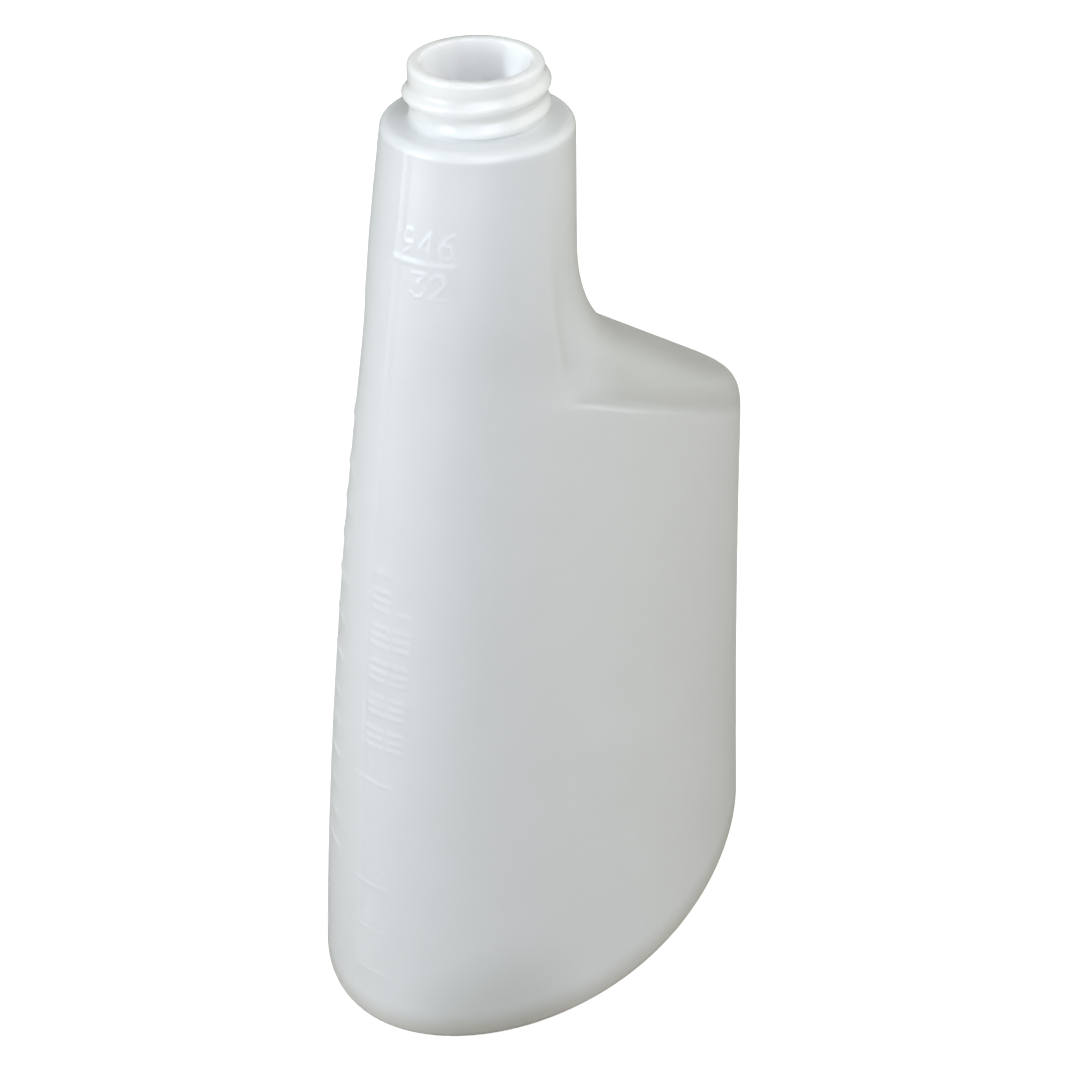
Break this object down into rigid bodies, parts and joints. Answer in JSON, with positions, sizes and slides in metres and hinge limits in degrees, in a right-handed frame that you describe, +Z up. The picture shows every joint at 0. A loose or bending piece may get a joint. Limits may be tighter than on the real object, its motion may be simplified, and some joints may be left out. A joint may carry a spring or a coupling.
{
  "type": "graduated plastic bottle",
  "caption": "Tall blow-moulded squeeze bottle with an egg-shaped body, a sloping domed shoulder and an offset screw neck.",
  "frame": {"origin": "middle of the base's outline, on the surface the bottle stands on", "axes": "+Z up through the bottle, X along its long plan axis with the neck towards -X, Y across it"},
  "size_m": [0.1348, 0.084, 0.2249],
  "materials": {
    "natural_hdpe": "natural high-density polyethylene, as blown: milky, faintly translucent, soft sheen"
  },
  "bodies": {
    "root": {"bottle": "natural_hdpe"}
  },
  "joints": []
}
